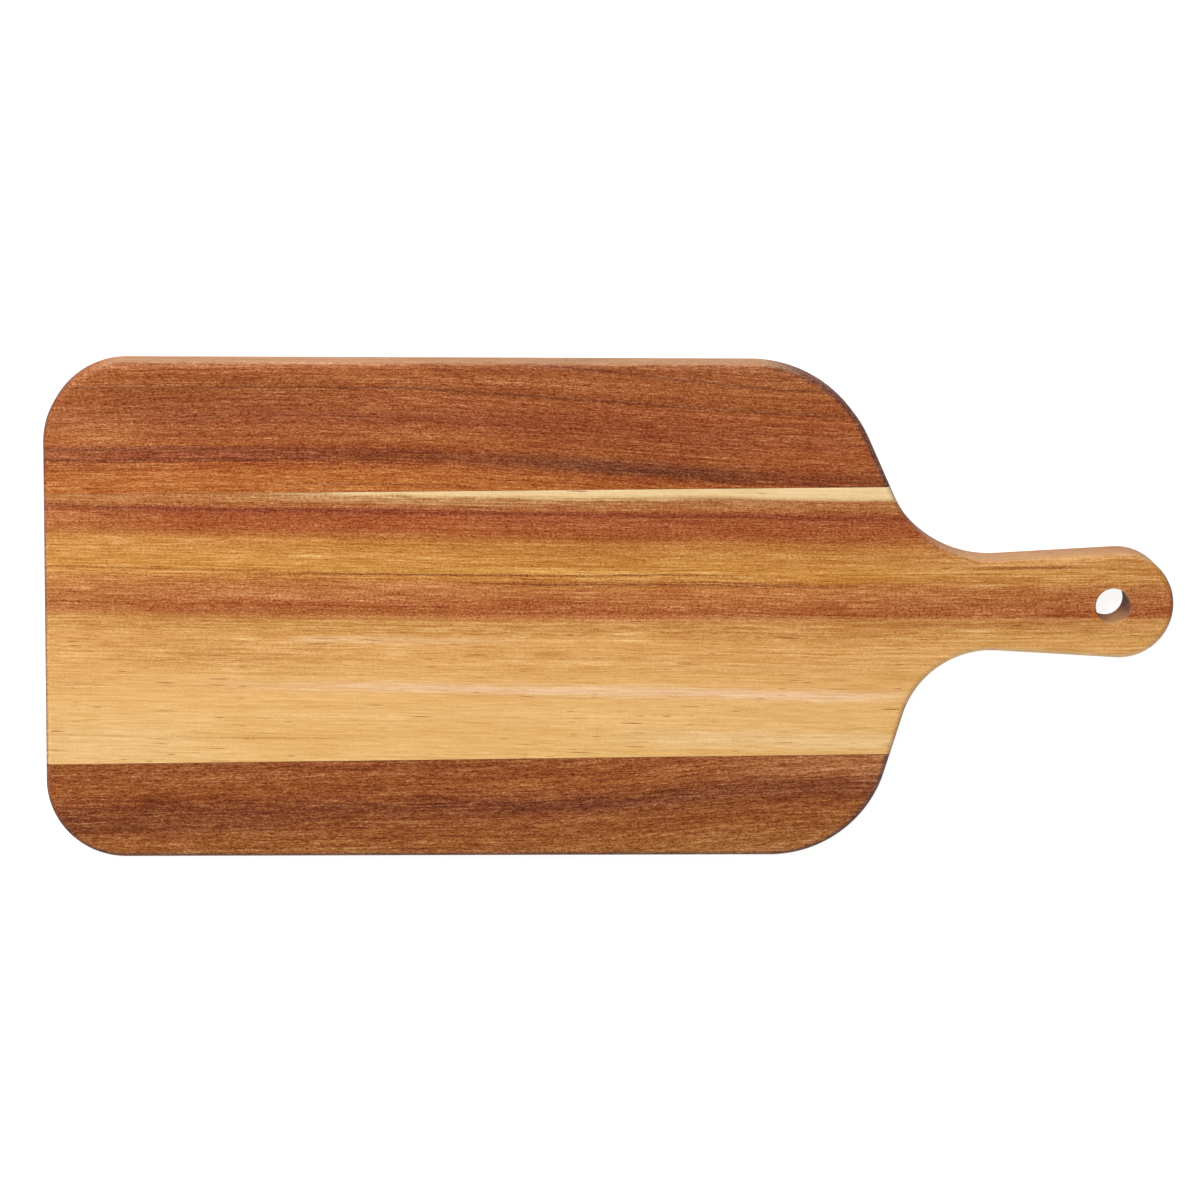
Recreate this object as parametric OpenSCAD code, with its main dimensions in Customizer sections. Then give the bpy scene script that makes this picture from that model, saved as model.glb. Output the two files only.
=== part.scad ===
// Paddle charcuterie board: three edge-glued acacia staves, cut to one outline with an ogee
// at each shoulder, a flared handle with a hanging hole, and a quarter-round on every edge.
// The board lies flat, +X towards the handle and +Y towards the upper stave.
// The origin is under the middle of the overall box.

/* [Board] */
// Overall length, from the body end to the tip of the handle
board_l = 432; // [400:1:460]
// Width of the body
body_w = 191.5; // [170:0.5:215]
// Thickness of the wood
board_t = 19; // [12:0.5:30]
// Quarter-round on every outside edge, both faces
edge_r = 2.5; // [1:0.1:4]

/* [Body end] */
// Radius of the corner on the upper stave
upper_corner_r = 31; // [15:0.5:45]
// Radius of the corner on the lower stave
lower_corner_r = 30; // [15:0.5:45]
// How far the end is cut back at the upper corner
end_lean = 0.7; // [0:0.1:3]

/* [Shoulders] */
// Radius of the upper shoulder
upper_shoulder_r = 49; // [35:0.5:58]
// Radius of the lower shoulder
lower_shoulder_r = 45.5; // [35:0.5:55]
// Straight run of each ogee, between its shoulder and the hollow of the neck
ogee_run = 24; // [8:0.5:40]

/* [Neck and handle] */
// Tip of the handle to its narrowest place
neck_from_tip = 70; // [55:0.5:90]
// Width of the handle at its narrowest place
neck_w = 35.4; // [28:0.1:38]
// Hollow radius of the neck on the upper side
upper_neck_r = 43; // [25:0.5:50]
// Hollow radius of the neck on the lower side
lower_neck_r = 35; // [25:0.5:50]
// Radius of the rounded end of the handle
handle_end_r = 20.5; // [18:0.1:23]
// Distance of the handle's middle line above the body's middle line
handle_shift = 2.7; // [-5:0.1:5]

/* [Hanging hole] */
// Diameter of the bore
hole_d = 13.5; // [8:0.1:18]
// Tip of the handle to the middle of the bore
hole_from_tip = 23.6; // [15:0.1:35]
// Bevel that eases each rim of the bore
hole_ease = 0.3; // [0.1:0.1:1]

/* [Staves] */
// Upper long edge to the upper glue line, at the body end
upper_stave_w = 50.6; // [30:0.1:60]
// Lower long edge to the lower glue line, at the body end
lower_stave_w = 36.6; // [25:0.1:55]
// Angle between the glue lines and the long edges, in degrees
grain_skew = 0.66; // [0:0.01:2]
// Thickness of each glue film
glue_t = 0.15; // [0.1:0.01:0.4]

/* [Hidden] */

// Colours of the wood and of the cured glue
russet_heartwood = [0.62, 0.33, 0.20];
golden_heartwood = [0.85, 0.63, 0.36];
umber_heartwood = [0.56, 0.32, 0.18];
cured_glue = [0.42, 0.25, 0.14];

// One overrun serves every cut
overrun = 5;
// Facets in the arcs of the outline and in the section of a quarter-round
corner_facets = 16;
shoulder_facets = 14;
neck_facets = 14;
// An odd number, so that the outline's points pair off across the board
handle_end_facets = 31;
edge_facets = 4;
bore_facets = 96;

end_x = -board_l / 2;
tip_x = board_l / 2;
body_top = body_w / 2;
body_bottom = -body_w / 2;
neck_top = handle_shift + neck_w / 2;
neck_bottom = handle_shift - neck_w / 2;
neck_x = tip_x - neck_from_tip;
upper_joint_y = body_top - upper_stave_w;
lower_joint_y = body_bottom + lower_stave_w;
hole_x = tip_x - hole_from_tip;

// How far along the board a shoulder's middle lies from the middle of its neck arc: two arcs
// that curve opposite ways are joined by a straight run of the length ogee_run
function ogee_length(shoulder_r, neck_r, rise) =
    sqrt(pow(shoulder_r + neck_r, 2) + pow(ogee_run, 2) - pow(rise, 2));

// The middles of the arcs at the shoulders and at the neck
upper_neck = [neck_x, neck_top + upper_neck_r];
lower_neck = [neck_x, neck_bottom - lower_neck_r];
upper_shoulder_y = body_top - upper_shoulder_r;
lower_shoulder_y = body_bottom + lower_shoulder_r;
upper_ogee_l = ogee_length(upper_shoulder_r, upper_neck_r, upper_neck.y - upper_shoulder_y);
lower_ogee_l = ogee_length(lower_shoulder_r, lower_neck_r, lower_shoulder_y - lower_neck.y);

// The outline's arcs in clockwise order from the body end, as middle, radius and facets.
// A hollow arc, whose middle lies outside the wood, has a negative radius.
ARCS = [
    [[end_x + end_lean + upper_corner_r, body_top - upper_corner_r], upper_corner_r, corner_facets],
    [[neck_x - upper_ogee_l, upper_shoulder_y], upper_shoulder_r, shoulder_facets],
    [upper_neck, -upper_neck_r, neck_facets],
    [[tip_x - handle_end_r, handle_shift], handle_end_r, handle_end_facets],
    [lower_neck, -lower_neck_r, neck_facets],
    [[neck_x - lower_ogee_l, lower_shoulder_y], lower_shoulder_r, shoulder_facets],
    [[end_x + lower_corner_r, body_bottom + lower_corner_r], lower_corner_r, corner_facets],
];
ARC_COUNT = len(ARCS);

function middle(i) = ARCS[i][0];
function radius(i) = ARCS[i][1];
function facets(i) = ARCS[i][2];
function next_arc(i) = (i + 1) % ARC_COUNT;
function last_arc(i) = (i + ARC_COUNT - 1) % ARC_COUNT;

// Heading of the straight run that touches arc i and then the next one
function heading(i) =
    let (step = middle(next_arc(i)) - middle(i))
    atan2(step.y, step.x) - asin((radius(i) - radius(next_arc(i))) / norm(step));

HEADINGS = [for (i = [0:ARC_COUNT - 1]) heading(i)];

// Degrees that the outline turns to the right on arc i, negative on a hollow arc
function within_turn(angle) = angle - 360 * floor(angle / 360);
function turn(i) =
    radius(i) > 0
        ? within_turn(HEADINGS[last_arc(i)] - HEADINGS[i])
        : -within_turn(HEADINGS[i] - HEADINGS[last_arc(i)]);

// Points of arc i, moved into the wood by inset: a parallel curve keeps every heading
function arc_points(i, inset) = [
    for (k = [0:facets(i)])
        let (h = HEADINGS[last_arc(i)] - turn(i) * k / facets(i))
        middle(i) + (radius(i) - inset) * [-sin(h), cos(h)]
];

function outline(inset) = [for (i = [0:ARC_COUNT - 1]) each arc_points(i, inset)];

// Levels of the loft as [inset, height]: up the lower quarter-round, then up the upper one
LEVELS = concat(
    [
        for (k = [0:edge_facets])
            let (a = 90 * k / edge_facets)
            edge_r * [1 - sin(a), 1 - cos(a)]
    ],
    [
        for (k = [0:edge_facets])
            let (a = 90 * k / edge_facets)
            [0, board_t] + edge_r * [1 - cos(a), sin(a) - 1]
    ]
);

// The whole board before its staves are told apart: parallel outlines lofted from face to face.
// Each flat face is a ladder of strips between points that pair off across the board.
module blank() {
    rings = [for (level = LEVELS) [for (p = outline(level[0])) [p.x, p.y, level[1]]]];
    count = len(rings[0]);
    top = count * (len(LEVELS) - 1);
    polyhedron(
        points = [for (ring = rings) each ring],
        faces = concat(
            [
                for (r = [0:len(LEVELS) - 2])
                    for (k = [0:count - 1])
                        let (a = r * count + k, b = r * count + (k + 1) % count)
                        [a, b, b + count, a + count]
            ],
            [for (k = [0:count / 2 - 2]) [k + 1, k, count - 1 - k, count - 2 - k]],
            [for (k = [0:count / 2 - 2]) [k, k + 1, count - 2 - k, count - 1 - k] + top * [1, 1, 1, 1]]
        ),
        convexity = 6
    );
}

// Space beside the glue line that crosses the body end at the height joint_y, between two
// distances measured square to that line, positive on the upper side
module beside(joint_y, from, to) {
    translate([end_x, joint_y, 0])
        rotate([0, 0, grain_skew])
            translate([-body_w, from, -overrun])
                cube([board_l + 2 * body_w, to - from, board_t + 2 * overrun]);
}

// Hanging hole with its two eased rims
module hanging_hole() {
    translate([hole_x, handle_shift, 0]) {
        translate([0, 0, -overrun])
            cylinder(h = board_t + 2 * overrun, d = hole_d, $fn = bore_facets);
        rim_cut();
        translate([0, 0, board_t])
            mirror([0, 0, 1])
                rim_cut();
    }
}

// Cone that bevels a rim in the plane z = 0
module rim_cut() {
    translate([0, 0, -hole_ease])
        cylinder(
            h = 2 * hole_ease,
            r1 = hole_d / 2 + 2 * hole_ease,
            r2 = hole_d / 2,
            $fn = bore_facets
        );
}

module upper_stave() {
    color(russet_heartwood)
        intersection() {
            blank();
            beside(upper_joint_y, glue_t / 2, body_w);
        }
}

module middle_stave() {
    color(golden_heartwood)
        difference() {
            intersection() {
                blank();
                beside(lower_joint_y, glue_t / 2, body_w);
                beside(upper_joint_y, -body_w, -glue_t / 2);
            }
            hanging_hole();
        }
}

module lower_stave() {
    color(umber_heartwood)
        intersection() {
            blank();
            beside(lower_joint_y, -body_w, -glue_t / 2);
        }
}

module glue_line(joint_y) {
    color(cured_glue)
        intersection() {
            blank();
            beside(joint_y, -glue_t / 2, glue_t / 2);
        }
}

module upper_glue_line() {
    glue_line(upper_joint_y);
}

module lower_glue_line() {
    glue_line(lower_joint_y);
}

upper_stave();
middle_stave();
lower_stave();
upper_glue_line();
lower_glue_line();
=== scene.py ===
"""Looks of the paddle charcuterie board: oiled acacia staves, their glue films and the studio."""

import logging
import math
from collections.abc import Callable
from dataclasses import dataclass
from enum import Enum
from functools import cached_property, partial, reduce
from typing import NamedTuple

import bmesh
import bpy
from mathutils import Matrix, Vector


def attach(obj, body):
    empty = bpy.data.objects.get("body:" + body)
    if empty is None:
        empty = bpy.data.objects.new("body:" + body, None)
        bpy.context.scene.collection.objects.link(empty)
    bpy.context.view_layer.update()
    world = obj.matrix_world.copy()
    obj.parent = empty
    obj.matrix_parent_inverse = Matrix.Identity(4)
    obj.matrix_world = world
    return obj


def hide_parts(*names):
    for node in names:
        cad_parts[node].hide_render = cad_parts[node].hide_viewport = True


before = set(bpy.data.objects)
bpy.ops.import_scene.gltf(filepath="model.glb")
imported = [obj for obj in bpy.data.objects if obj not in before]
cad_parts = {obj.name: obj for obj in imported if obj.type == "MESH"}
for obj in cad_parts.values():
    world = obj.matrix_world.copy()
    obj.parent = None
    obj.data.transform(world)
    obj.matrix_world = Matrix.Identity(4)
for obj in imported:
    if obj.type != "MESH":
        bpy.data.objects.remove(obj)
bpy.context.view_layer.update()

log = logging.getLogger("board")

MM = 0.001
WHITE = (1.0, 1.0, 1.0, 1.0)

# What can feed a socket of a node, and a call that adds a node to one material
Feed = bpy.types.Node | bpy.types.NodeSocket | float
Adder = Callable[..., bpy.types.Node]


def linear(hex_colour: str) -> tuple[float, float, float, float]:
    """Turns an sRGB hex colour into Blender's linear colour.

    Args:
        hex_colour: Colour such as "#B4703E".

    Returns:
        Linear red, green and blue, with an alpha of 1.
    """
    channels = [int(hex_colour[i : i + 2], 16) / 255 for i in (1, 3, 5)]
    return (*(c / 12.92 if c <= 0.04045 else ((c + 0.055) / 1.055) ** 2.4 for c in channels), 1.0)


def add_node(
    tree: bpy.types.NodeTree,
    kind: str,
    inputs: tuple | dict = (),
    **settings: str | bool,
) -> bpy.types.Node:
    """Adds a node with its settings and fills its sockets.

    Args:
        tree: Node tree that the node joins.
        kind: Kind of the node, such as "Math" for a ShaderNodeMath.
        inputs: Values of its sockets, or the nodes and sockets that feed them. They come in
            order from the first socket, or by socket name or number. A node feeds its first
            output. A MapRange takes a value, its range, and the range that it becomes.
        settings: Properties of the node by name.

    Returns:
        The new node.
    """
    node = tree.nodes.new(f"ShaderNode{kind}")
    for name, value in settings.items():
        setattr(node, name, value)
    for key, value in inputs.items() if isinstance(inputs, dict) else enumerate(inputs):
        source = value.outputs[0] if isinstance(value, bpy.types.Node) else value
        if isinstance(source, bpy.types.NodeSocket):
            tree.links.new(source, node.inputs[key])
        else:
            node.inputs[key].default_value = source
    return node


def fresh_nodes(owner: bpy.types.Material | bpy.types.World) -> Adder:
    """Empties the nodes of a material or world.

    Args:
        owner: Material or world whose nodes are made anew.

    Returns:
        A call that adds a node to it.
    """
    owner.use_nodes = True
    owner.node_tree.nodes.clear()
    return partial(add_node, owner.node_tree)


def product(add: Adder, *factors: Feed) -> Feed:
    """Multiplies factors together."""
    return reduce(lambda a, b: add("Math", (a, b), operation="MULTIPLY"), factors)


def weighted_sum(add: Adder, *parts: tuple[Feed, float]) -> Feed:
    """Adds up parts, each times its strength."""
    return reduce(lambda total, part: add("Math", (*part, total), operation="MULTIPLY_ADD"), parts, 0.0)


def seen_ray(add: Adder) -> Feed:
    """Gives 1 for rays that see a surface straight, mirrored or through glass, and 0 for others."""
    rays = map(add("LightPath").outputs.get, ("Is Camera Ray", "Is Glossy Ray", "Is Transmission Ray"))
    return reduce(lambda seen, ray: add("Math", (ray, seen), operation="MAXIMUM"), rays, 0.0)


@dataclass(frozen=True)
class Arc:
    """One arc of the board's plan, in millimetres. A hollow has a negative radius."""

    middle: Vector
    radius: float
    segments: int


@dataclass(frozen=True)
class PaddlePlan:
    """Plan of the board: seven arcs joined by their common tangents, in millimetres."""

    board_l: float = 432.0
    body_w: float = 191.5
    upper_corner_r: float = 31.0
    lower_corner_r: float = 30.0
    end_lean: float = 0.7
    upper_shoulder_r: float = 49.0
    lower_shoulder_r: float = 45.5
    ogee_run: float = 24.0
    neck_from_tip: float = 70.0
    neck_w: float = 35.4
    upper_neck_r: float = 43.0
    lower_neck_r: float = 35.0
    handle_end_r: float = 20.5
    handle_shift: float = 2.7
    corner_segments: int = 28
    shoulder_segments: int = 40
    neck_segments: int = 40
    handle_end_segments: int = 93

    @property
    def end_x(self) -> float:
        """X of the body end."""
        return -self.board_l / 2

    @property
    def tip_x(self) -> float:
        """X of the handle's tip."""
        return self.board_l / 2

    @cached_property
    def arcs(self) -> list[Arc]:
        """The arcs in clockwise order from the corner of the body end."""
        top = self.body_w / 2
        neck_x = self.tip_x - self.neck_from_tip
        upper_neck = Vector((neck_x, self.handle_shift + self.neck_w / 2 + self.upper_neck_r))
        lower_neck = Vector((neck_x, self.handle_shift - self.neck_w / 2 - self.lower_neck_r))
        upper_shoulder = self._shoulder(upper_neck, self.upper_neck_r, self.upper_shoulder_r, top)
        lower_shoulder = self._shoulder(lower_neck, self.lower_neck_r, self.lower_shoulder_r, -top)
        upper_corner = Vector((self.end_x + self.end_lean + self.upper_corner_r, top - self.upper_corner_r))
        lower_corner = Vector((self.end_x + self.lower_corner_r, self.lower_corner_r - top))
        handle_end = Vector((self.tip_x - self.handle_end_r, self.handle_shift))
        return [
            Arc(upper_corner, self.upper_corner_r, self.corner_segments),
            Arc(upper_shoulder, self.upper_shoulder_r, self.shoulder_segments),
            Arc(upper_neck, -self.upper_neck_r, self.neck_segments),
            Arc(handle_end, self.handle_end_r, self.handle_end_segments),
            Arc(lower_neck, -self.lower_neck_r, self.neck_segments),
            Arc(lower_shoulder, self.lower_shoulder_r, self.shoulder_segments),
            Arc(lower_corner, self.lower_corner_r, self.corner_segments),
        ]

    def _shoulder(self, neck: Vector, neck_r: float, shoulder_r: float, edge_y: float) -> Vector:
        """Places a shoulder so that a straight run joins it to its neck arc.

        Args:
            neck: Middle of the neck arc.
            neck_r: Radius of the neck arc.
            shoulder_r: Radius of the shoulder.
            edge_y: Y of the long edge that the shoulder leaves.

        Returns:
            The middle of the shoulder.
        """
        y = edge_y - math.copysign(shoulder_r, edge_y)
        along = math.sqrt((shoulder_r + neck_r) ** 2 + self.ogee_run**2 - (neck.y - y) ** 2)
        return Vector((neck.x - along, y))

    def _heading(self, arc: Arc, following: Arc) -> float:
        """Heading of the straight run that touches two arcs, in radians."""
        step = following.middle - arc.middle
        return math.atan2(step.y, step.x) - math.asin((arc.radius - following.radius) / step.length)

    def outline(self, inset: float) -> list[Vector]:
        """Gives the plan's points, moved into the wood.

        Args:
            inset: Distance into the wood. A parallel curve keeps every heading.

        Returns:
            The points in clockwise order.
        """
        count = len(self.arcs)
        headings = [self._heading(arc, self.arcs[(i + 1) % count]) for i, arc in enumerate(self.arcs)]
        points = []
        for i, arc in enumerate(self.arcs):
            side = math.copysign(1, arc.radius)
            turn = side * ((side * (headings[i - 1] - headings[i])) % math.tau)
            for k in range(arc.segments + 1):
                h = headings[i - 1] - turn * k / arc.segments
                points.append(arc.middle + (arc.radius - inset) * Vector((-math.sin(h), math.cos(h))))
        return points


def lofted(rings: list[list[tuple[float, float, float]]]) -> bmesh.types.BMesh:
    """Skins a stack of rings.

    Args:
        rings: Rings from the lowest up, each clockwise as seen from above.

    Returns:
        A closed mesh whose two ends are single polygons.
    """
    mesh = bmesh.new()
    rows = [[mesh.verts.new(point) for point in ring] for ring in rings]
    for low, high in zip(rows, rows[1:]):
        for k in range(len(low)):
            n = (k + 1) % len(low)
            mesh.faces.new((low[k], high[k], high[n], low[n]))
    mesh.faces.new(rows[0])
    mesh.faces.new(reversed(rows[-1]))
    return mesh


def rounded_wall(round_r: float, segments: int, height: float) -> list[tuple[float, float]]:
    """Climbs a wall whose lower and upper edges are quarter-rounds.

    Args:
        round_r: Radius of the rounds.
        segments: Straight steps in each.
        height: Height of the wall.

    Returns:
        Distances back from the wall and heights, from the lowest up.
    """
    angles = [math.pi / 2 * k / segments for k in range(segments + 1)]
    lower = [(round_r * (1 - math.sin(a)), round_r * (1 - math.cos(a))) for a in angles]
    return lower + [(back, height - z) for back, z in reversed(lower)]


@dataclass(frozen=True)
class Blank:
    """The glued-up board before its staves are told apart: its plan with a quarter-round."""

    plan: PaddlePlan
    board_t: float = 19.0
    edge_r: float = 2.5
    edge_segments: int = 10

    def loft(self) -> bmesh.types.BMesh:
        """Builds the blank's mesh, in millimetres."""
        wall = rounded_wall(self.edge_r, self.edge_segments, self.board_t)
        return lofted([[(p.x, p.y, z) for p in self.plan.outline(inset)] for inset, z in wall])


class Side(Enum):
    """Which way a stave's figure is measured from its glue line."""

    UP = 1
    DOWN = -1


@dataclass(frozen=True)
class Joint:
    """A glued joint: a plane that crosses the body end at y, skew degrees off the long edges."""

    y: float
    end_x: float
    skew: float = 0.66

    def turned(self, way: Vector) -> Vector:
        """Turns a way of the stave, along and across its grain, into one of the board."""
        return Matrix.Rotation(math.radians(self.skew), 3, "Z") @ way

    def grain_place(self, x: float, y: float, side: Side) -> Vector:
        """Distances of a point of the board from the body end and from this joint, along the grain."""
        place = Matrix.Rotation(-math.radians(self.skew), 3, "Z") @ Vector((x - self.end_x, y - self.y, 0))
        return Vector((place.x, place.y * side.value, 0))

    def saw(self, mesh: bmesh.types.BMesh, offset: float, keep_upper: bool) -> None:
        """Cuts the mesh along the joint and closes the cut.

        Args:
            mesh: Mesh that loses one side.
            offset: Distance of the cut from the joint's middle, up the board.
            keep_upper: Whether the side nearer the upper edge stays.
        """
        across = self.turned(Vector((0, 1, 0)))
        cut = bmesh.ops.bisect_plane(
            mesh,
            geom=[*mesh.verts, *mesh.edges, *mesh.faces],
            plane_co=Vector((self.end_x, self.y, 0)) + offset * across,
            plane_no=across,
            clear_inner=keep_upper,
            clear_outer=not keep_upper,
        )["geom_cut"]
        rim = [e for e in cut if isinstance(e, bmesh.types.BMEdge)]
        bmesh.ops.contextual_create(mesh, geom=rim)


@dataclass(frozen=True)
class HangingHole:
    """The bore near the tip, with a small round on each rim, in millimetres."""

    x: float
    y: float
    board_t: float
    hole_d: float = 13.5
    hole_ease: float = 0.5
    segments: int = 128
    rim_segments: int = 4
    overrun: float = 5.0

    def drill(self) -> bmesh.types.BMesh:
        """Builds the solid that the bore and its eased rims take out.

        Returns:
            A closed mesh, in millimetres.
        """
        wall = [
            (self.hole_d / 2 + back, z)
            for back, z in rounded_wall(self.hole_ease, self.rim_segments, self.board_t)
        ]
        wide = wall[0][0]
        profile = [(wide, -self.overrun), *wall, (wide, self.board_t + self.overrun)]
        angles = [-math.tau * k / self.segments for k in range(self.segments)]
        return lofted(
            [[(self.x + r * math.cos(a), self.y + r * math.sin(a), z) for a in angles] for r, z in profile]
        )


@dataclass(frozen=True)
class Streak:
    """A stain, hair line or painted satin highlight that runs along the grain for part of the length.

    Attributes:
        across: Distance from the glue line where the streak begins, in millimetres.
        half_width: Distance from its middle line to where it has gone.
        colour: Colour of the streak.
        strength: How much of the wood's own colour it covers, from 0 to 1.
        start, full, fade, end: Distances from the body end at which it begins to show, is fully
            there, begins to go and has gone.
        drift: Sideways move from its full place to its fade place.
    """

    across: float
    half_width: float
    colour: str
    strength: float
    start: float
    full: float
    fade: float
    end: float
    drift: float = 0.0


@dataclass(frozen=True)
class Grain:
    """Noise drawn out along the grain, between -1 and 1.

    Attributes:
        cell: Length, width and thickness of one grain of the noise, in millimetres.
        detail: Finer layers in it.
        strength: How strongly it shows.
        twist: How much it is distorted, so that no rows show.
    """

    cell: tuple[float, float, float]
    detail: float
    strength: float = 1.0
    twist: float = 0.0


@dataclass(frozen=True)
class Tint:
    """A colour, and how far from 0 to 1 the wood comes to it: where it took up more or less oil, or where
    light or shade is painted on it.
    """

    colour: str
    cover: float


class Ramp(NamedTuple):
    """A value that changes from low to high while a measure goes from one level to another."""

    start: float
    full: float
    low: float = 0.0
    high: float = 1.0


@dataclass(frozen=True)
class OiledAcacia:
    """Acacia, thickness planed, sanded to about 320 grit and oiled.

    The oil leaves a satin surface that shows the colour of the wood at full depth, with open
    pores as short dark dashes and no film of varnish over them. Real fibres are about 0.02 mm
    wide and vessels 0.1 to 0.2 mm. They are drawn 0.4 to 0.8 mm wide, so that they show.

    Attributes:
        joint, side: Glue line from which the figure is measured, and which way.
        board_t: Thickness of the board, in millimetres.
        bands: Colours of the growth rings on the serving face at the body end, by their distance
            from the glue line, in millimetres.
        streaks: Streaks laid over the bands, in order.
        drift: Distances along the board and how far the bands have moved there, in millimetres.
        pith_across, pith_below: How far the heart of the log lies beyond the glue line and below
            the serving face, in millimetres.
        pore_share: How many of the places for a pore hold one, from 0 to 1.
        tick_strength: How strongly the fine ticks across the grain show.
        seed: Offset that gives each stave its own grain.
        painted_edge_highlight, end_grain_shade_and_sheen, painted_lower_edge: Tints of the edges.
            The first is a painted highlight on the edges that face the upper long edge. The second is
            the end grain, darker as it took up the most oil, with painted shade and a painted greyish
            sheen laid on it. The third is painted shade on the edges that face the lower long edge.
        end_start: How squarely an edge must face the handle to be end grain and take its painted
            shade, from 0 to 1.
        bore, bore_reach: Middle of the hanging hole, along and across the stave, and the distance
            from it within which a wall is the hole's, in millimetres.
        painted_bore_light: Painted light on the wall of the hole where it faces the light.
        waves, ripples: Long lazy waves of the grain and small ripples on them, in millimetres.
        fibres, ticks: Bundles of fibres, and ticks across them.
        strokes, painted_glint_colour: Short golden strokes on the dark wood, painted glints where
        the fibres catch the light.
        stipple, strands: Cut fibre ends and vessels, and fine strands along the grain.
        rings, clouds: Lines of the growth rings, and broad changes of tone.
        pore_cells: Length, width and thickness of the space round a pore, for each size of pore.
        pore_rim: Shares of that space at which a pore's shade begins and is full.
        pore_shade: Colour that an open pore multiplies the wood by: the oil in it, and painted
        shade in its hollow.
        fibre_fray, tick_fray: How far fibres and ticks fray a border of bands, in millimetres.
        border_fray: Share of that fray by distance from the glue line. The sapwood's is crispest.
        streak_fray: How far the fibres fray a streak, as a share of its half width.
        open_grain: How open the grain is by the brightness of the wood.
        dark_lines, pale_lines: How strongly lines show by that brightness, in dark and pale wood.
        side_lines: The same by how level the surface is, because the sides are calmer.
        light_share: How strong the light flecks are beside the dark ones.
        fleck_gain: Brightness that a light fleck gains beside its colour.
        polish: How much smoother a fibre is than the wood round it.
        relief, pore_depth: Height of a fibre in millimetres, and depth of a pore beside it.
        gloss: Share of a smooth film's shine that the open surface keeps.
    """

    name: str
    joint: Joint
    side: Side
    board_t: float
    bands: dict[float, str]
    streaks: tuple[Streak, ...]
    drift: tuple[tuple[float, float], ...]
    pith_across: float
    pith_below: float
    pore_share: float
    tick_strength: float
    seed: float
    # Painted highlight on the edges that face the upper long edge and the light
    painted_edge_highlight: Tint = Tint("#E6BC92", 0.42)
    # End grain: darker as it took up more oil, with painted shade and a painted greyish sheen laid on
    end_grain_shade_and_sheen: Tint = Tint("#7C5955", 0.68)
    end_start: float = 0.0
    # Painted shade on the edges that face the lower long edge, away from the light
    painted_lower_edge: Tint = Tint("#4E2E22", 0.65)
    bore: Vector = Vector((0, 0, 0))
    bore_reach: float = 0.0
    # Painted light on the wall of the bore where it faces the light
    painted_bore_light: Tint = Tint("#D9AC78", 0.85)
    waves: Grain = Grain((95.0, 22.0, 22.0), 1.0, 0.4)
    ripples: Grain = Grain((15.0, 4.5, 4.5), 2.0, 0.25)
    fibres: Grain = Grain((15.0, 0.6, 0.6), 2.0, 0.19)
    ticks: Grain = Grain((0.9, 2.6, 2.6), 1.0)
    strokes: Grain = Grain((9.0, 0.8, 0.8), 3.0, 0.3)
    # Painted glints: golden strokes where the fibres catch the light
    painted_glint_colour: str = "#C4843E"
    stipple: Grain = Grain((1.0, 0.42, 0.42), 1.0, 0.4, 0.6)
    strands: Grain = Grain((4.0, 0.5, 0.5), 2.0, 0.24)
    rings: Grain = Grain((120.0, 1.0, 400.0), 3.0, 0.15)
    clouds: Grain = Grain((45.0, 7.0, 14.0), 3.0, 0.09)
    pore_cells: tuple[tuple[float, float, float], ...] = ((9.0, 0.7, 0.7), (20.0, 0.85, 0.85))
    pore_rim: Ramp = Ramp(0.27, 0.12)
    pore_shade: str = "#A8744E"
    fibre_fray: float = 1.6
    tick_fray: float = 0.9
    border_fray: Ramp = Ramp(-2.0, 10.0, 0.42, 1.0)
    streak_fray: float = 0.3
    open_grain: Ramp = Ramp(0.16, 0.5, 1.0, 0.2)
    dark_lines: Ramp = Ramp(0.14, 0.32, 0.85, 1.3)
    pale_lines: Ramp = Ramp(0.38, 0.5, 1.0, 0.5)
    side_lines: Ramp = Ramp(0.1, 0.6, 0.45, 1.0)
    light_share: float = 0.62
    fleck_gain: float = 0.65
    polish: float = 0.05
    relief: float = 0.05
    pore_depth: float = 1.5
    roughness: float = 0.4
    side_roughness: float = 0.7
    gloss: float = 0.15
    oil_ior: float = 1.47

    @cached_property
    def material(self) -> bpy.types.Material:
        """The material that the wood's nodes go into."""
        return bpy.data.materials.new(self.name)

    @cached_property
    def add(self) -> Adder:
        """Call that adds a node to the wood."""
        return fresh_nodes(self.material)

    @cached_property
    def place(self) -> Feed:
        """Millimetres along the grain, across it from the glue line, and up from the serving face."""
        return self.add(
            "Mapping",
            {
                "Vector": self.add("TexCoord").outputs["Object"],
                "Location": Vector((self.joint.end_x, self.joint.y, self.board_t)) * MM,
                "Rotation": (0, 0, math.radians(self.joint.skew)),
                "Scale": (MM, MM * self.side.value, MM),
            },
            vector_type="TEXTURE",
        )

    @cached_property
    def axes(self) -> list[Feed]:
        """The place's three distances: along the grain, across it, and up."""
        return list(self.add("SeparateXYZ", (self.place,)).outputs)

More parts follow.
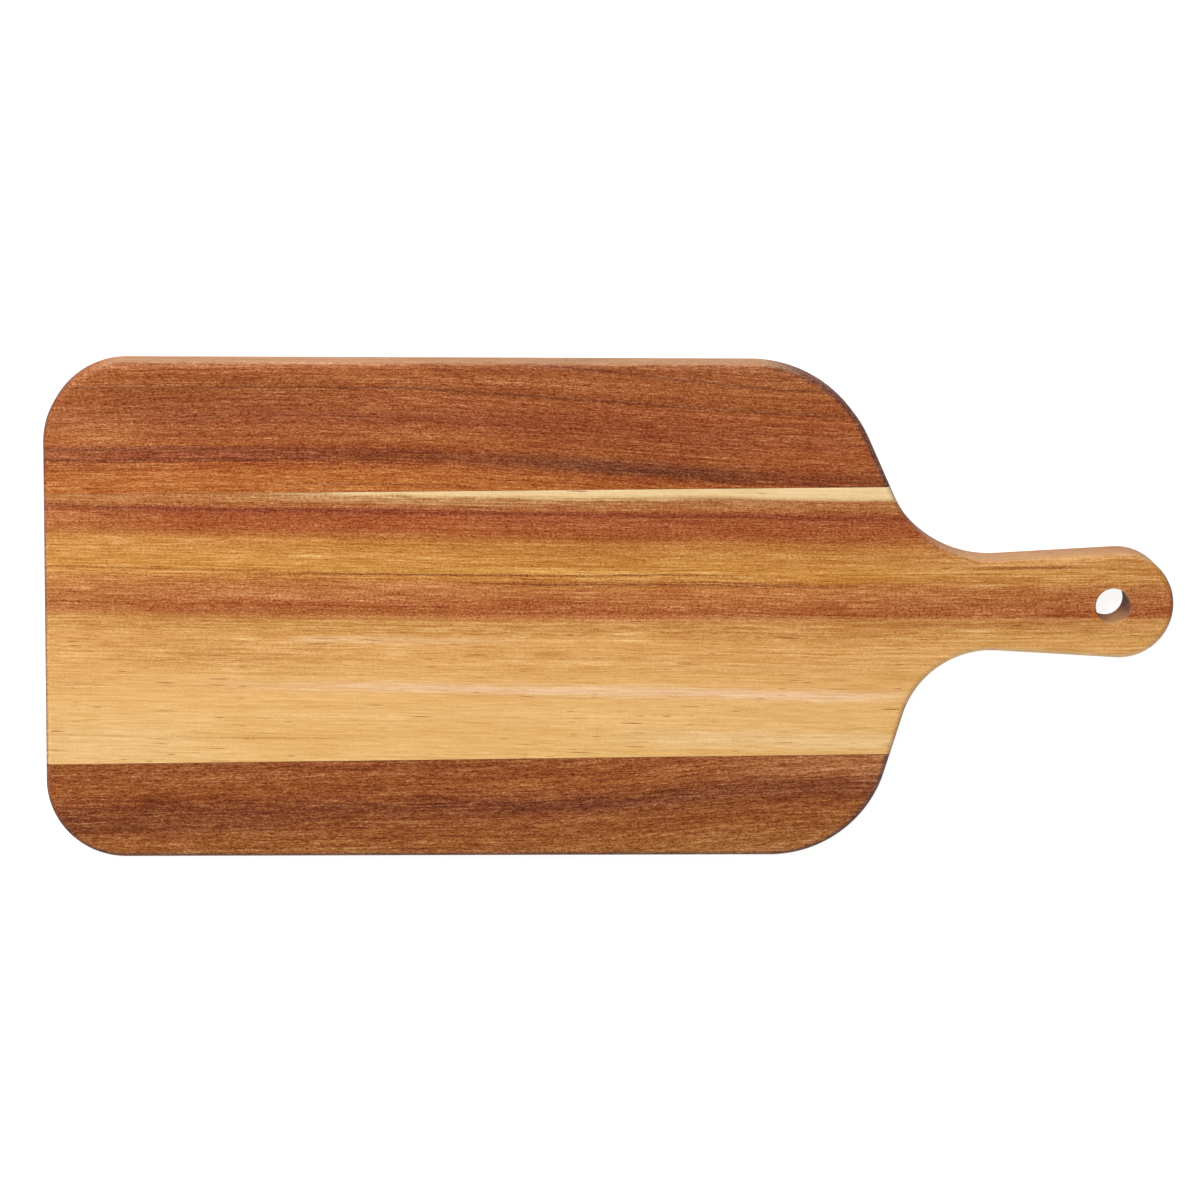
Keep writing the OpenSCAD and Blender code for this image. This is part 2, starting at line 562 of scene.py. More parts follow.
    @cached_property
    def ring_place(self) -> Feed:
        """Where a growth ring meets the serving face, as a distance from the glue line.

        The rings are arcs about the heart of the log, so the sides and the end grain show the
        same rings as the face.
        """
        add = self.add
        along, across, depth = self.axes
        length = self.drift[-1][0]
        reach = max(abs(move) for _, move in self.drift)
        curve = add("FloatCurve", {"Value": add("Math", (along, length), operation="DIVIDE")})
        line = curve.mapping.curves[0]
        curve.mapping.clip_min_y = -1.0
        for i, (distance, move) in enumerate(self.drift):
            spot = (distance / length, move / reach)
            if i < 2:  # a new curve has two points already
                line.points[i].location = spot
            else:
                line.points.new(*spot)
        curve.mapping.update()
        moved = add("Math", (curve, -reach, across), operation="MULTIPLY_ADD")
        wander = weighted_sum(
            add, *((self._noise(self.place, layer), layer.strength) for layer in (self.waves, self.ripples))
        )
        warped = add("Math", (moved, wander), operation="ADD")
        from_heart = add("Math", (warped, self.pith_across), operation="ADD")
        fall = add("Math", (depth, 2 * self.pith_below), operation="ADD")
        drop = add("Math", (fall, depth, product(add, from_heart, from_heart)), operation="MULTIPLY_ADD")
        radius = add("Math", (add("Math", (drop, 0.0), operation="MAXIMUM"),), operation="SQRT")
        return add("Math", (radius, self.pith_across), operation="SUBTRACT")

    @cached_property
    def fibre_place(self) -> Feed:
        """Place among the fibres, in millimetres: the place with the growth ring's own across."""
        along, _, depth = self.axes
        return self.add("CombineXYZ", (along, self.ring_place, depth))

    @cached_property
    def fibre(self) -> Feed:
        """Noise of the bundles of fibres."""
        return self._noise(self.fibre_place, self.fibres)

    @cached_property
    def tick(self) -> Feed:
        """Noise of the ticks across the grain."""
        return self._noise(self.fibre_place, self.ticks)

    @cached_property
    def level(self) -> Feed:
        """How level the surface is: 1 on both faces and 0 on the sides."""
        return self.add("Math", (self._facing(Vector((0, 0, 1))),), operation="ABSOLUTE")

    def build(self) -> bpy.types.Material:
        """Builds the material.

        Returns:
            A solid wood that is cut by every face of the piece, end grain included.
        """
        add = self.add
        colour = self._stroked(self._banded())
        for streak in self.streaks:
            colour = self._streaked(colour, streak)
        colour = self._edged(colour)
        tone = self._tone(colour)
        toned = add("Gamma", (colour, tone))
        # A power alone would leave the light flecks milky, so they gain brightness as well.
        gain = add("Math", (tone, -self.fleck_gain, 1 + self.fleck_gain), operation="MULTIPLY_ADD")
        shaded = add("VectorMath", {0: toned, "Scale": gain}, operation="SCALE")
        pores = self._pores()
        # Open pores darken the wood: partly the oil in them, partly painted shade in their hollows
        pored = add(
            "Mix",
            {"Factor": pores, 6: shaded, 7: linear(self.pore_shade)},
            data_type="RGBA",
            blend_type="MULTIPLY",
        )

        # Satin on the faces, and matt on the sawn sides and in the bore
        satin = add("MapRange", (self.level, 0.6, 0.1, self.roughness, self.side_roughness))
        roughness = add("Math", (self.fibre, -self.polish, satin), operation="MULTIPLY_ADD")
        height = add("Math", (pores, -self.pore_depth, self.fibre), operation="MULTIPLY_ADD")
        bump = add("Bump", {"Strength": 0.4, "Distance": self.relief * MM, "Height": height})
        wood = add(
            "BsdfPrincipled",
            {
                "Base Color": pored.outputs[2],
                "Roughness": roughness,
                "IOR": self.oil_ior,
                "Specular IOR Level": self.gloss,
                "Normal": bump,
            },
        )
        add("OutputMaterial", {"Surface": wood})
        return self.material

    def _noise(self, place: Feed, grain: Grain) -> Feed:
        """Adds the noise of a grain.

        Args:
            place: Place in the stave, in millimetres.
            grain: Size and detail of the noise.

        Returns:
            The noise, spread to fill -1 to 1.
        """
        scale = [1 / size for size in grain.cell]
        shift = (self.seed, self.seed * 1.7, self.seed * 0.6)
        scaled = self.add("VectorMath", (place, scale, shift), operation="MULTIPLY_ADD")
        layers = {"Scale": 1.0, "Detail": grain.detail, "Roughness": 0.55, "Distortion": grain.twist}
        noise = self.add("TexNoise", {"Vector": scaled, **layers}, noise_dimensions="3D")
        return self.add("MapRange", (noise, 0.25, 0.75, -1.0, 1.0))

    def _facing(self, way: Vector) -> Feed:
        """How squarely the surface faces a way of the stave, from -1 to 1."""
        pair = (self.add("NewGeometry").outputs["Normal"], self.joint.turned(way))
        return self.add("VectorMath", pair, operation="DOT_PRODUCT").outputs["Value"]

    def _openness(self, colour: Feed) -> Feed:
        """How open the grain is: fully in the dark rings, and hardly in the pale ones."""
        return self.add("MapRange", (self.add("RGBToBW", (colour,)), *self.open_grain))

    def _laid(self, colour: Feed, share: Feed, shade: str) -> Feed:
        """Lays a share of a shade over the colour below it."""
        layers = {"Factor": share, 6: colour, 7: linear(shade)}
        return self.add("Mix", layers, data_type="RGBA").outputs[2]

    def _banded(self) -> Feed:
        """Colours the growth rings, whose borders fray as fibres of one run into the next.

        Returns:
            The colour of the bands.
        """
        add = self.add
        spread = add("MapRange", (self.ring_place, *self.border_fray))
        fray = weighted_sum(add, (self.fibre, self.fibre_fray), (self.tick, self.tick_fray))
        frayed = add("Math", (fray, spread, self.ring_place), operation="MULTIPLY_ADD")
        first, *_, last = self.bands
        ramp = add("ValToRGB", (add("MapRange", (frayed, first, last)),))
        stops = ramp.color_ramp.elements
        for i, (across, colour) in enumerate(self.bands.items()):
            spot = (across - first) / (last - first)
            stop = stops[0] if i == 0 else stops.new(spot) if i < len(self.bands) - 1 else stops[-1]
            stop.position = spot
            stop.color = linear(colour)
        return ramp

    def _stroked(self, colour: Feed) -> Feed:
        """Lays painted glints of golden strokes over the dark wood, where its fibres catch the light.

        Args:
            colour: Colour of the bands.

        Returns:
            The colour with the strokes on it.
        """
        strokes = self._noise(self.fibre_place, self.strokes)
        shown = self.add("MapRange", (strokes, -0.1, 1.0, 0.0, self.strokes.strength))
        share = product(self.add, shown, self._openness(colour))
        return self._laid(colour, share, self.painted_glint_colour)

    def _streaked(self, colour: Feed, streak: Streak) -> Feed:
        """Lays one streak, with its edges frayed by the fibres.

        Args:
            colour: Colour below the streak.
            streak: The streak.

        Returns:
            The colour with the streak on it.
        """
        add, along = self.add, self.axes[0]
        path = (streak.full, streak.fade, streak.across, streak.across + streak.drift)
        off = add("Math", (self.ring_place, add("MapRange", (along, *path))), operation="SUBTRACT")
        distance = add("Math", (off,), operation="ABSOLUTE")
        fray = self.streak_fray * streak.half_width
        frayed = add("Math", (self.fibre, fray, distance), operation="MULTIPLY_ADD")
        ramps = (
            (frayed, streak.half_width, 0.0, 0.0, streak.strength),
            (along, streak.start, streak.full),
            (along, streak.end, streak.fade),
        )
        shares = (add("MapRange", ramp, interpolation_type="SMOOTHSTEP") for ramp in ramps)
        return self._laid(colour, product(add, *shares), streak.colour)

    def _edged(self, colour: Feed) -> Feed:
        """Colours the edges: darker end grain, and painted light and shade by which way they face.

        The end grain took up more oil than the faces and is darker, and painted shade and a painted
        greyish sheen lie on it, most of all towards the handle, which faces away from the light. The
        edges towards the upper long edge get a painted highlight, those towards the lower long edge
        painted shade, or on the middle stave a painted lift of light, and the wall of the bore painted
        light where it faces the light. Each ramp goes by how squarely an edge faces the handle or the
        upper long edge, so that one tint runs into the next round a corner.

        Args:
            colour: Colour of the wood on the faces.

        Returns:
            The colour with its darker end grain and its painted light and shade on the edges.
        """
        add, start = self.add, self.end_start
        forward, upward = self._facing(Vector((1, 0, 0))), self._facing(Vector((0, 1, 0)))
        # End grain, darker from the oil, with painted shade and a painted greyish sheen, strongest on edges
        # facing the handle, away from the light
        handle_end = add("MapRange", (forward, start, start + 0.3))
        body_end = add("MapRange", (forward, -0.5, -0.85))
        soaked_and_shaded = add("Math", (handle_end, body_end), operation="MAXIMUM")
        # Painted highlight on the edges that face the upper long edge and the light, off both ends
        upper_edge = add("MapRange", (upward, 0.5, 0.96))
        off_body_end = add("MapRange", (forward, -0.45, -0.05))
        off_handle_end = add("MapRange", (forward, start + 0.4, start + 0.1))
        painted_highlight_share = product(add, upper_edge, off_body_end, off_handle_end)
        # Painted shade on edges facing the lower long edge, away from the light; on the middle stave a
        # painted lift of light
        lower_edge = add("MapRange", (upward, -0.15, -0.7))
        # Painted light on the wall of the bore where it faces the light
        off = add("VectorMath", (self.place, self.bore), operation="SUBTRACT")
        flat = add("VectorMath", (off, (1, 1, 0)), operation="MULTIPLY")
        distance = add("VectorMath", (flat,), operation="LENGTH").outputs["Value"]
        near = add("Math", (distance, self.bore_reach), operation="LESS_THAN")
        lit_wall = product(add, add("MapRange", (upward, 0.35, 0.95)), near)
        tints = (self.end_grain_shade_and_sheen, self.painted_edge_highlight, self.painted_lower_edge, self.painted_bore_light)
        for share, tint in zip((soaked_and_shaded, painted_highlight_share, lower_edge, lit_wall), tints):
            colour = self._laid(colour, product(add, share, tint.cover), tint.colour)
        return colour

    def _tone(self, colour: Feed) -> Feed:
        """Light and dark of ring lines, clouds, fibres, stipple and ticks.

        Args:
            colour: Colour of the bands and streaks.

        Returns:
            The power that the colour is raised to: above 1 it is darker and redder.
        """
        add = self.add
        stipple, strands, rings, clouds = (
            (self._noise(self.fibre_place, grain), grain.strength)
            for grain in (self.stipple, self.strands, self.rings, self.clouds)
        )
        fine = weighted_sum(add, stipple, strands, (self.tick, self.tick_strength))
        fine = add("Math", (fine, product(add, fine, self.light_share)), operation="MAXIMUM")
        # The dark rings are the open-grained ones, so they have more stipple than the pale ones.
        tone = add("Math", (fine, self._openness(colour), 1.0), operation="MULTIPLY_ADD")
        # Lines along the grain show most in the golden wood, and more on the faces than the sides.
        bright = add("RGBToBW", (colour,))
        shown = ((bright, self.dark_lines), (bright, self.pale_lines), (self.level, self.side_lines))
        liveliness = product(add, *(add("MapRange", (measure, *ramp)) for measure, ramp in shown))
        lines = weighted_sum(add, (self.fibre, self.fibres.strength), rings, clouds)
        return add("Math", (lines, liveliness, tone), operation="MULTIPLY_ADD")

    def _pores(self) -> Feed:
        """Opens the pores.

        Returns:
            Short dark dashes on the faces and dots on the end grain, from 0 to 1.
        """
        add = self.add
        total: Feed = 0.0
        for cell in self.pore_cells:
            scale = [1 / size for size in cell]
            shift = (self.seed * 2.3, self.seed, cell[0])
            scaled = add("VectorMath", (self.fibre_place, scale, shift), operation="MULTIPLY_ADD")
            cells = add(
                "TexVoronoi",
                {"Vector": scaled, "Scale": 1.0, "Randomness": 1.0},
                voronoi_dimensions="3D",
                feature="F1",
            )
            inside = add("MapRange", (cells.outputs["Distance"], *self.pore_rim))
            lot = add("SeparateColor", (cells.outputs["Color"],))
            chosen = add("Math", (lot, self.pore_share), operation="LESS_THAN")
            dark = product(add, inside, chosen)
            total = add("Math", (dark, lot.outputs[1], total), operation="MULTIPLY_ADD", use_clamp=True)
        return total


@dataclass(frozen=True)
class CuredGlue:
    """Wood glue squeezed thin and cured: a brown line, duller than the oiled wood beside it."""

    name: str = "cured_wood_glue"
    colour: str = "#6A4228"
    lighter: str = "#8A5C38"
    patch_length: float = 26.0
    roughness: float = 0.6
    ior: float = 1.48

    def build(self) -> bpy.types.Material:
        """Builds the material.

        Returns:
            A film with lighter patches where it is thinnest.
        """
        material = bpy.data.materials.new(self.name)
        add = fresh_nodes(material)
        per_patch = 1 / (self.patch_length * MM)
        place = add("TexCoord").outputs["Object"]
        scaled = add("VectorMath", (place, (per_patch, 0, per_patch)), operation="MULTIPLY")
        patches = add("TexNoise", {"Vector": scaled, "Scale": 1.0, "Detail": 3.0})
        colours = {"Factor": patches, 6: linear(self.colour), 7: linear(self.lighter)}
        mix = add("Mix", colours, data_type="RGBA")
        film = add(
            "BsdfPrincipled",
            {"Base Color": mix.outputs[2], "Roughness": self.roughness, "IOR": self.ior},
        )
        add("OutputMaterial", {"Surface": film})
        return material


def make_piece(name: str, mesh: bmesh.types.BMesh, scale: float = MM) -> bpy.types.Object:
    """Turns a mesh into an object of the scene.

    Args:
        name: Name of the object.
        mesh: Its mesh, which is freed.
        scale: Metres in one unit of the mesh.

    Returns:
        The object, in metres.
    """
    bmesh.ops.scale(mesh, vec=(scale, scale, scale), verts=mesh.verts)
    data = bpy.data.meshes.new(name)
    mesh.to_mesh(data)
    mesh.free()
    piece = bpy.data.objects.new(name, data)
    bpy.context.scene.collection.objects.link(piece)
    return piece


@dataclass(frozen=True)
class Cut:
    """One side of a piece: the joint that it is sawn along, how far off, and which side stays."""

    joint: Joint
    offset: float
    keep_upper: bool


@dataclass(frozen=True)
class SawnPiece:
    """A stave or a glue film: the part of the blank between its cuts.

    Attributes:
        name: Name of the piece in the scene.
        node: CAD node that it stands for.
        slot: Material slot of the record. Not used.
        blank: Blank that it is sawn from.
        cuts: Cuts that leave it.
        hole: Bore through it, if it has one.
        crease: Angle in degrees from which an edge stays crisp.
    """

    name: str
    node: str
    slot: str
    blank: Blank
    cuts: tuple[Cut, ...]
    hole: HangingHole | None = None
    crease: float = 32.0

    def build(self, finish: bpy.types.Material) -> bpy.types.Object:
        """Saws, drills and sands the piece, hangs it on the board's root and hides its CAD node.

        Args:
            finish: Material of the piece.

        Returns:
            The piece.
        """
        mesh = self.blank.loft()
        for cut in self.cuts:
            cut.joint.saw(mesh, cut.offset, cut.keep_upper)
        bmesh.ops.recalc_face_normals(mesh, faces=mesh.faces)
        piece = make_piece(self.name, mesh)
        if self.hole:
            self._drill(piece)
        self._smooth(piece)
        piece.data.materials.append(finish)
        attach(piece, "root")
        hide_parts(self.node)
        return piece

    def _drill(self, piece: bpy.types.Object) -> None:
        """Takes the bore out of a piece.

        Args:
            piece: Piece that keeps the result as its mesh.
        """
        drill = make_piece("drill", self.hole.drill())
        cut = piece.modifiers.new("bore", "BOOLEAN")
        cut.operation, cut.solver, cut.object = "DIFFERENCE", "EXACT", drill
        bored = bpy.data.meshes.new_from_object(piece.evaluated_get(bpy.context.evaluated_depsgraph_get()))
        piece.modifiers.remove(cut)
        piece.data = bored
        bored.name = self.name
        bpy.data.objects.remove(drill)

    def _smooth(self, piece: bpy.types.Object) -> None:
        """Shades the rounds smooth, and keeps the sawn edges crisp and the flat faces flat.

        Args:
            piece: Piece that is shaded.
        """
        piece.data.polygons.foreach_set("use_smooth", [True] * len(piece.data.polygons))
        piece.data.set_sharp_from_angle(angle=math.radians(self.crease))
        piece.modifiers.new("flat faces", "WEIGHTED_NORMAL").keep_sharp = True


# The upper stave: colours across its rings, streaks along it, and how far its rings drift
RUSSET_BANDS = {
    -8: "#B56730",
    0: "#B5682F",
    5: "#B5672E",
    9: "#AE5F2B",
    11.4: "#A15227",
    12.6: "#854121",
    16.6: "#844022",
    18: "#9C4F25",
    20: "#A95C2E",
    23.5: "#A65B2F",
    27: "#9C502C",
    31: "#9B522C",
    36: "#9E522B",
    38.8: "#A1562D",
    40: "#945029",
    41.4: "#A0572D",
    47: "#A65E32",
    53: "#9D5830",
    58: "#98542B",
    66: "#9A5224",
    76: "#A96334",
}
RUSSET_STREAKS = (
    Streak(30, 34, "#843E1A", 0.36, 110, 200, 230, 300, -4),
    Streak(26, 40, "#C27A44", 0.25, -60, 0, 5, 70),
    Streak(14.6, 4.6, "#4E3222", 0.5, 150, 215, 246, 292),
    Streak(17.3, 1.2, "#7A3A26", 0.7, -60, -20, 60, 110),
    Streak(13, 0.6, "#783A22", 0.6, -60, -20, 90, 150),
    Streak(51.2, 1.1, "#743C24", 0.62, 170, 205, 290, 310, -2.7),
    Streak(22, 4, "#93502A", 0.5, 20, 50, 100, 150),
    Streak(40.3, 0.9, "#743A20", 0.62, -40, 10, 320, 400, -0.7),
    Streak(35, 13, "#86461E", 0.5, 0, 50, 95, 140),
    Streak(3.5, 0.6, "#7C4226", 0.5, 80, 100, 150, 180),
    Streak(19, 9, "#8A4422", 0.36, 190, 230, 400, 440, -2),
    Streak(14.5, 1.7, "#AA5C3A", 0.6, -60, -20, 60, 110),
    Streak(29, 2.5, "#86442A", 0.35, 20, 60, 150, 200),
)
RUSSET_DRIFT = ((0, 0), (130, -0.4), (175, -3), (225, -7), (270, -10.5), (330, -13.2), (432, -15))

# The middle stave
GOLDEN_BANDS = {
    -10: "#F5D8A4",
    -2.9: "#F0CE97",
    -2: "#DAB07A",
    -0.9: "#BA824E",
    1.2: "#B16B3B",
    3.3: "#A45932",
    4.1: "#9A4E2C",
    5.4: "#A3522D",
    8: "#AC5B30",
    11: "#A9562B",
    13.4: "#AE642F",
    15: "#C37E3C",
    18: "#C98942",
    22: "#CB8B43",
    25: "#D09245",
    28: "#CD8E44",
    31: "#C07A40",
    36: "#BA723F",
    39.4: "#B06234",
    42.6: "#A85B2E",
    44.4: "#BA743F",
    46: "#CF9352",
    50: "#D19854",
    53: "#DDA35E",
    60: "#DEA662",
    72: "#E7B26C",
    84: "#EBB975",
    90: "#E7B46D",
    97: "#EAB872",
    112: "#EABA78",
}
GOLDEN_STREAKS = (
    Streak(-1.5, 5, "#B06E3C", 1, -60, -30, 66, 124),
    Streak(-1.8, 2.2, "#B06C3C", 1, 200, 290, 500, 560),
    Streak(0.4, 1.7, "#C48E5A", 0.7, 85, 125, 165, 215),
    Streak(4.2, 1.5, "#843A20", 0.82, -60, -10, 450, 500, -0.3),
    Streak(44.2, 2.6, "#CB8E50", 0.85, 230, 300, 500, 560),
    Streak(50.5, 4, "#C08246", 0.35, 220, 280, 320, 350),
    Streak(35, 11, "#8E4A24", 0.22, 300, 340, 500, 560),
    Streak(91, 6, "#F4D09C", 0.5, 190, 260, 330, 380),
    Streak(14.8, 1.3, "#8C4626", 0.6, 334, 340, 354, 362, 5.4),
    Streak(22, 13, "#D29C66", 0.3, 300, 360, 500, 560),
    Streak(60, 13, "#C68A48", 0.4, 20, 50, 90, 130),
    Streak(73.2, 4, "#CE9452", 0.5, -60, -30, 12, 40),
    Streak(25, 45, "#E0A05C", 0.25, -60, -10, 5, 60),
    Streak(10, 18, "#8E4A24", 0.25, 130, 235, 300, 400),
    # A painted satin highlight: a pale peach gleam along the grain
    Streak(72.2, 3.4, "#F2C69C", 0.8, 30, 150, 300, 350, 1.2),
    Streak(53.5, 2.4, "#EABA8A", 0.6, 80, 110, 150, 190),
    Streak(27, 0.6, "#955524", 0.7, -20, 0, 60, 110, 0.6),
    Streak(28.8, 0.7, "#8A4C20", 0.9, 60, 100, 230, 300, -1.5),
    Streak(24.6, 0.5, "#A0622D", 0.5, 90, 130, 200, 260, -0.5),
    Streak(31.2, 0.6, "#84441F", 0.8, 150, 180, 280, 330, -0.5),
    Streak(30, 0.4, "#94562A", 0.7, 170, 200, 300, 330),
    Streak(26.2, 0.6, "#DEA258", 0.7, 150, 180, 290, 330, -0.4),
    Streak(23, 0.8, "#8A461C", 0.9, 345, 370, 384, 400),
    Streak(92.5, 0.6, "#B87C40", 0.6, -20, 10, 90, 140),
    Streak(96, 14, "#F2C98E", 0.5, -60, 0, 30, 90),
)
GOLDEN_DRIFT = ((0, 0), (60, 1.8), (98, 2.7), (175, 4.8), (250, 6.4), (320, 8.2), (432, 9))

# The lower stave
UMBER_BANDS = {
    -6: "#9A582B",
    0: "#935128",
    5: "#934E26",
    10: "#995528",
    14: "#8E4B25",
    18: "#783B1F",
    21: "#7E4020",
    24: "#8A4A23",
    30: "#935126",
    36: "#96582A",
    40: "#A66A38",
    52: "#B37B4B",
}
UMBER_STREAKS = (
    Streak(19.5, 3.2, "#6E3826", 0.3, 150, 190, 215, 270),
    Streak(11, 9, "#B8784A", 0.6, 240, 290, 330, 360),
    Streak(18.5, 5, "#955635", 0.45, 240, 280, 340, 380),
    Streak(24.5, 4.5, "#713A1E", 0.55, -20, 10, 70, 110),
)
UMBER_DRIFT = ((0, 1.8), (60, 0.6), (190, 0), (260, -4.6), (310, -7), (432, -9))


class PaddleBoard:
    """The board: three acacia staves and the two glue films between them."""

    def __init__(
        self,
        upper_stave_w: float = 50.6,
        lower_stave_w: float = 36.6,
        glue_t: float = 0.15,
        hole_from_tip: float = 23.6,
    ) -> None:
        """Lays out the joints and the hanging hole.

        Args:
            upper_stave_w: Upper long edge to the upper glue line, at the body end, in millimetres.
            lower_stave_w: Lower long edge to the lower glue line, at the body end.
            glue_t: Thickness of each glue film.
            hole_from_tip: Tip of the handle to the middle of the bore.
        """
        self.plan = PaddlePlan()
        self.blank = Blank(self.plan)
        self.upper_joint = Joint(self.plan.body_w / 2 - upper_stave_w, self.plan.end_x)
        self.lower_joint = Joint(lower_stave_w - self.plan.body_w / 2, self.plan.end_x)
        self.half_film = glue_t / 2
        self.hole = HangingHole(self.plan.tip_x - hole_from_tip, self.plan.handle_shift, self.blank.board_t)

    def upper_wood(self) -> OiledAcacia:
        """Russet heartwood with a purplish mineral streak and a thin dark ring line.

        Returns:
            The finish of the upper stave.
        """
        return OiledAcacia(
            name="oiled_acacia_russet",
            joint=self.upper_joint,
            side=Side.UP,
            board_t=self.blank.board_t,
            bands=RUSSET_BANDS,
            streaks=RUSSET_STREAKS,
            drift=RUSSET_DRIFT,
            pith_across=70.0,
            pith_below=34.0,
            pore_share=0.12,
            tick_strength=0.02,
            seed=3.1,
            # End grain darker from the oil, with painted shade and a painted greyish sheen
            end_grain_shade_and_sheen=Tint("#68453E", 0.78),
        )

    def middle_wood(self) -> OiledAcacia:
        """Golden heartwood with two red-brown bands and a wedge of cream sapwood along its edge.

        Returns:
            The finish of the middle stave.
        """
        return OiledAcacia(
            name="oiled_acacia_golden",
            joint=self.upper_joint,
            side=Side.DOWN,
            board_t=self.blank.board_t,
            bands=GOLDEN_BANDS,
            streaks=GOLDEN_STREAKS,
            drift=GOLDEN_DRIFT,
            pith_across=60.0,
            pith_below=46.0,
            pore_share=0.19,
            tick_strength=0.09,
            seed=11.7,
            end_start=0.55,
            # A painted lift of light on the handle's lower edge, in place of painted shade
            painted_lower_edge=Tint("#FFD49C", 0.85),
            bore=self.upper_joint.grain_place(self.hole.x, self.hole.y, Side.DOWN),
            bore_reach=self.hole.hole_d / 2 + 0.1,
        )

    def lower_wood(self) -> OiledAcacia:
        """Umber heartwood with a darker band and many open pores.

        Returns:
            The finish of the lower stave.
        """
        return OiledAcacia(
            name="oiled_acacia_umber",
            joint=self.lower_joint,
            side=Side.DOWN,
            board_t=self.blank.board_t,
            bands=UMBER_BANDS,
            streaks=UMBER_STREAKS,
            drift=UMBER_DRIFT,
            pith_across=52.0,
            pith_below=40.0,
            pore_share=0.3,
            tick_strength=0.02,
            seed=23.9,
        )

    def build(self) -> list[bpy.types.Object]:
        """Builds and dresses all five pieces.

        Returns:
            The staves and the glue films.
        """
        up, down, film = self.upper_joint, self.lower_joint, self.half_film
        glue = CuredGlue().build()
        jobs = (
            ("upper_stave", "russet_acacia", (Cut(up, film, True),), self.upper_wood().build(), None),
            (
                "middle_stave",
                "golden_acacia",
                (Cut(up, -film, False), Cut(down, film, True)),
                self.middle_wood().build(),
                self.hole,
            ),
            ("lower_stave", "umber_acacia", (Cut(down, -film, False),), self.lower_wood().build(), None),
            ("upper_glue_line", "cured_glue", (Cut(up, film, False), Cut(up, -film, True)), glue, None),
            ("lower_glue_line", "cured_glue", (Cut(down, film, False), Cut(down, -film, True)), glue, None),
        )
        pieces = []
        for node, slot, cuts, finish, hole in jobs:
            sawn = SawnPiece(f"{node}_finished", node, slot, self.blank, cuts, hole)
            pieces.append(sawn.build(finish))
            log.info("%s: %d faces, %s", sawn.name, len(pieces[-1].data.polygons), finish.name)
        return pieces


@dataclass(frozen=True)
class Softbox:
    """A square soft lamp that points at the board, in metres and watts."""

    name: str
    place: Vector
    size: float
    power: float

    def build(self) -> bpy.types.Object:
        """Hangs the lamp.

        Returns:
            The lamp.
        """
        light = bpy.data.lights.new(self.name, "AREA")
        light.shape, light.size, light.energy = "SQUARE", self.size, self.power
        lamp = bpy.data.objects.new(self.name, light)
        lamp.location = self.place
        lamp.rotation_euler = self.place.to_track_quat("Z", "Y").to_euler()
        bpy.context.scene.collection.objects.link(lamp)
        return lamp


@dataclass(frozen=True)
class OverheadCamera:
    """The photographer's camera, above the board and a little towards its upper edge.

    Attributes:
        aim: Point that it looks at, in millimetres.
        lean_left: Degrees that it stands off the upright towards the body end.
        lean_up: Degrees that it stands off the upright towards the upper edge.
        roll: Degrees that it is turned about its own axis.
        distance: Distance to the aim, in millimetres.
        lens: Focal length, in millimetres.
        sensor_w: Width of the sensor, in millimetres.
        reach: Nearest and farthest distance that it shows, in metres.
    """

    aim: Vector = Vector((-4.48, 3.15, 9.5))
    lean_left: float = 3.0
    lean_up: float = 11.0
    roll: float = 0.611
    distance: float = 1534.4
    lens: float = 120.0
    sensor_w: float = 36.0
    reach: tuple[float, float] = (0.05, 50.0)

    def build(self) -> bpy.types.Object:
        """Sets up the camera and makes it the scene's own.

        Returns:
            The camera.
        """
        left, upper = (math.tan(math.radians(lean)) for lean in (self.lean_left, self.lean_up))
        back = Vector((-left, upper, 1)).normalized()
        right = (-back).cross(Vector((0, 1, 0))).normalized()
        up = right.cross(-back)
        turn = math.radians(self.roll)
        x = math.cos(turn) * right + math.sin(turn) * up
        y = math.cos(turn) * up - math.sin(turn) * right
        data = bpy.data.cameras.new("overhead")
        data.lens, data.sensor_width, data.sensor_fit = self.lens, self.sensor_w, "HORIZONTAL"
        data.clip_start, data.clip_end = self.reach
        camera = bpy.data.objects.new("overhead", data)
        place = (self.aim + back * self.distance) * MM
        camera.matrix_world = Matrix.Translation(place) @ Matrix((x, y, back)).transposed().to_4x4()
        bpy.context.scene.collection.objects.link(camera)
        bpy.context.scene.camera = camera
        return camera


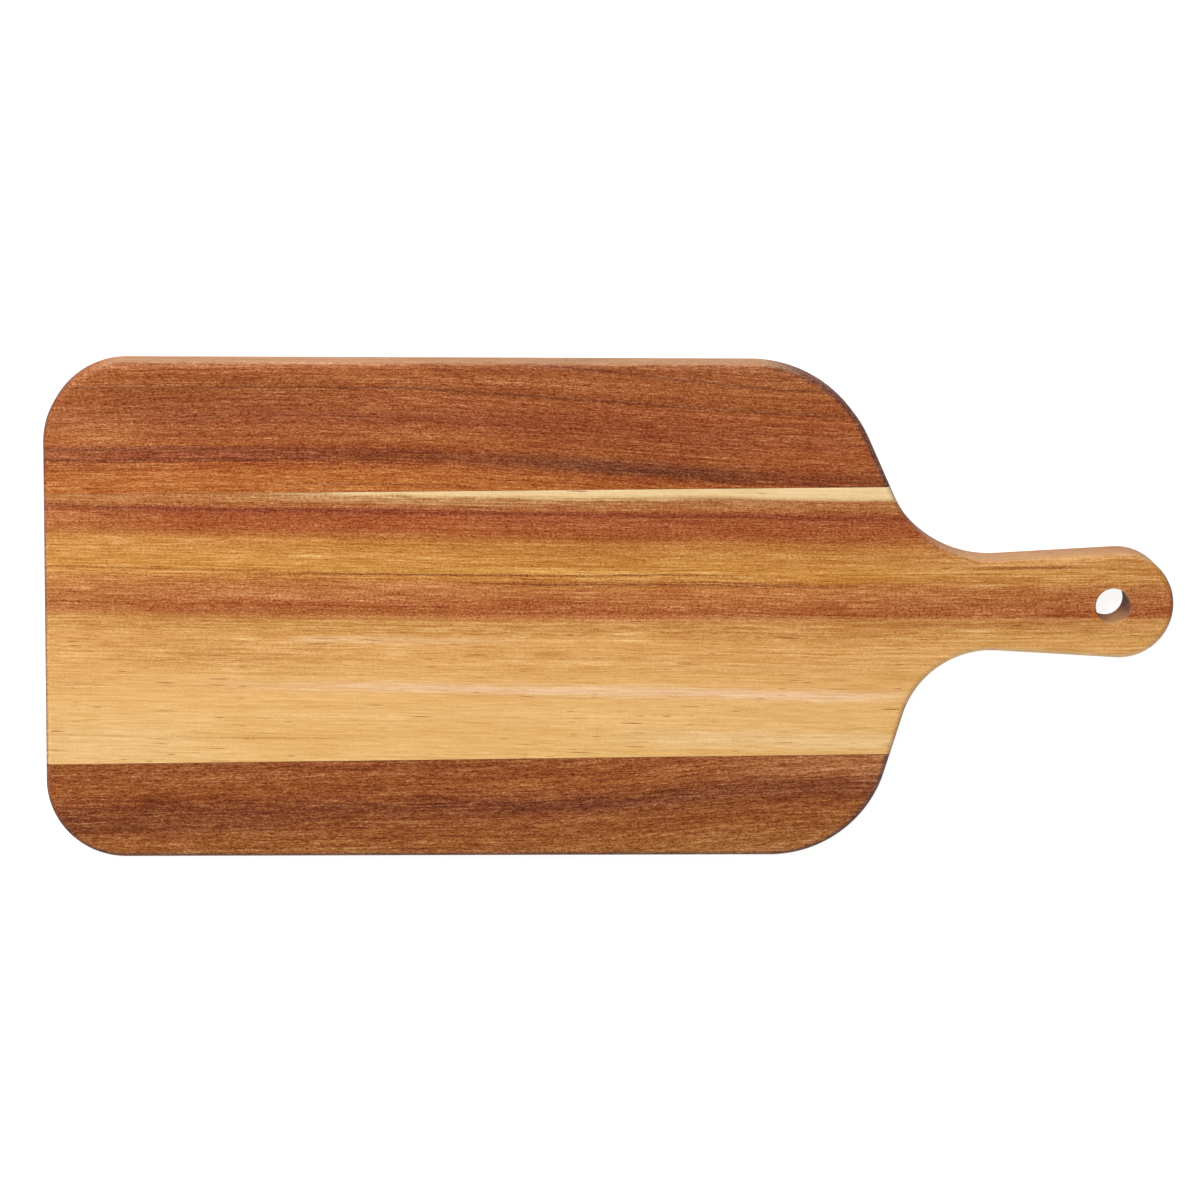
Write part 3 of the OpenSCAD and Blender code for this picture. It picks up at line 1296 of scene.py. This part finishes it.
@dataclass(frozen=True)
class Studio:
    """A white table under soft light, brighter from the side of the board's upper edge.

    Attributes:
        table_size: Side of the table, in metres.
        table_drop: How far its top lies below the board, in millimetres.
        table_colour, seen_colour: Its colour for the light that it throws back on the board, and
            where the camera sees it.
        table_lift: Glow that lifts it there to the photograph's white.
        sky_strength: Strength of the even light of the room.
    """

    table_size: float = 6.0
    table_drop: float = 0.2
    table_colour: str = "#C8C8C8"
    seen_colour: str = "#A0A0A0"
    table_lift: float = 0.9
    sky_strength: float = 0.2

    def table(self) -> bpy.types.Object:
        """Lays the white table top just under the board.

        Returns:
            The table.
        """
        mesh = bmesh.new()
        bmesh.ops.create_grid(mesh, x_segments=2, y_segments=2, size=self.table_size / 2)
        bmesh.ops.translate(mesh, vec=(0, 0, -self.table_drop * MM), verts=mesh.verts)
        table = make_piece("table", mesh, 1.0)
        table.data.materials.append(self._white())
        return table

    def _white(self) -> bpy.types.Material:
        """Makes the table's finish.

        Returns:
            Matt white laminate, lifted to the photograph's white where the camera sees it.
        """
        material = bpy.data.materials.new("matt_white_laminate")
        add = fresh_nodes(material)
        seen = seen_ray(add)
        colours = {"Factor": seen, 6: linear(self.table_colour), 7: linear(self.seen_colour)}
        tint = add("Mix", colours, data_type="RGBA")
        matt = add("BsdfDiffuse", {"Color": tint.outputs[2]})
        glow = add("Emission", {"Color": WHITE, "Strength": product(add, seen, self.table_lift)})
        add("OutputMaterial", {"Surface": add("AddShader", (matt, glow))})
        return material

    def sky(self) -> None:
        """Fills the room with even light, and shows white where a ray looks past the table."""
        world = bpy.data.worlds.new("soft_room")
        add = fresh_nodes(world)
        strength = add("MapRange", (seen_ray(add), 0.0, 1.0, self.sky_strength, 1.0))
        glow = add("Background", {"Color": WHITE, "Strength": strength})
        add("OutputWorld", {"Surface": glow})
        bpy.context.scene.world = world

    def lamps(self) -> list[bpy.types.Object]:
        """Hangs the key light high beyond the upper edge, with weaker ones low there and opposite.

        Returns:
            The lamps, in the order in which they were hung.
        """
        return [
            Softbox("key_softbox", Vector((-0.5, 1.0, 1.66)), 0.8, 27.5).build(),
            Softbox("edge_softbox", Vector((-0.9, 1.5, 0.75)), 1.0, 12.0).build(),
            Softbox("fill_softbox", Vector((-0.4, -1.5, 0.9)), 1.2, 7.5).build(),
        ]

    def build(self) -> None:
        """Sets up the table, the light and the camera."""
        for piece in (self.table(), *self.lamps(), OverheadCamera().build()):
            log.info("studio: %s", piece.name)
        self.sky()
        bpy.context.scene.view_settings.view_transform = "Standard"


def main() -> None:
    """Builds the board and the studio in order, and reports each."""
    logging.basicConfig(level=logging.INFO, format="%(name)s: %(message)s")
    PaddleBoard().build()
    Studio().build()


if __name__ == "__main__":
    main()
